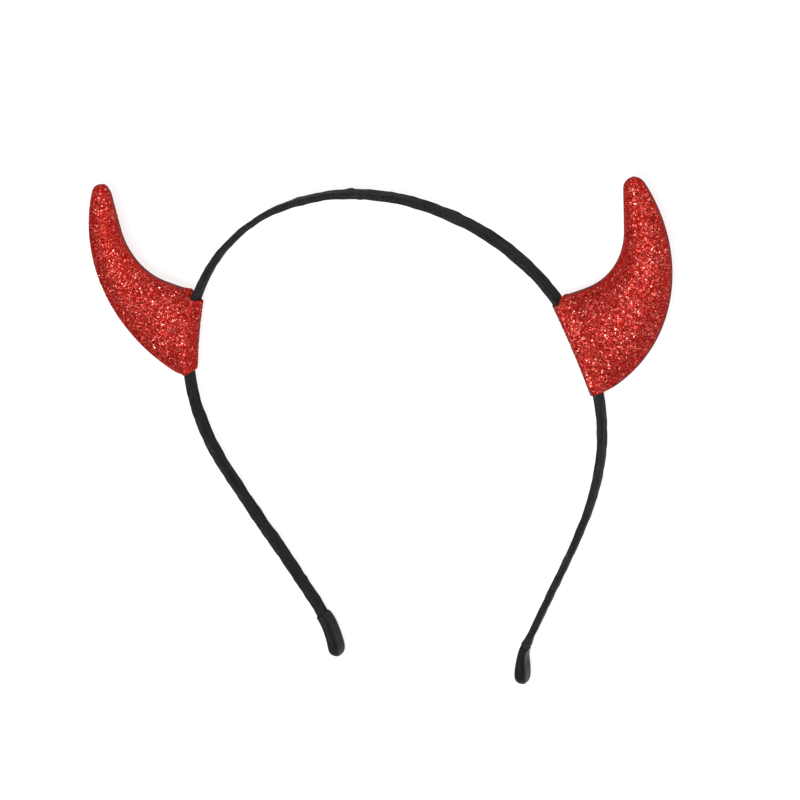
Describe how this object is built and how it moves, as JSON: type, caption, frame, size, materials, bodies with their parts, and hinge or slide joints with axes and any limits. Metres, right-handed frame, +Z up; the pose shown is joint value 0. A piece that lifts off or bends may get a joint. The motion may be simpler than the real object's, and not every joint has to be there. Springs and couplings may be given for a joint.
{
  "type": "horn headband",
  "caption": "Thin satin-covered headband with padded red glitter-cloth horns sleeved on its shoulders and soft caps on its ends, worn over the head as costume wear.",
  "frame": {"origin": "on the resting surface, under the middle of the headband's box", "axes": "+Z up from the surface and out of the horns' fronts, +Y towards the crown of the arch, +X towards the right horn seen from above with the crown at the top"},
  "size_m": [0.183, 0.1588, 0.0097],
  "materials": {
    "satin": "black woven satin cover with a soft sheen along the band",
    "soft_rubber": "smooth black rubber with soft broad highlights",
    "glitter_cloth": "red cloth set with fine bright red glitter"
  },
  "bodies": {
    "root": {"band": "satin", "cap_left": "soft_rubber", "cap_right": "soft_rubber", "horn_left": "glitter_cloth", "horn_right": "glitter_cloth"}
  },
  "joints": []
}
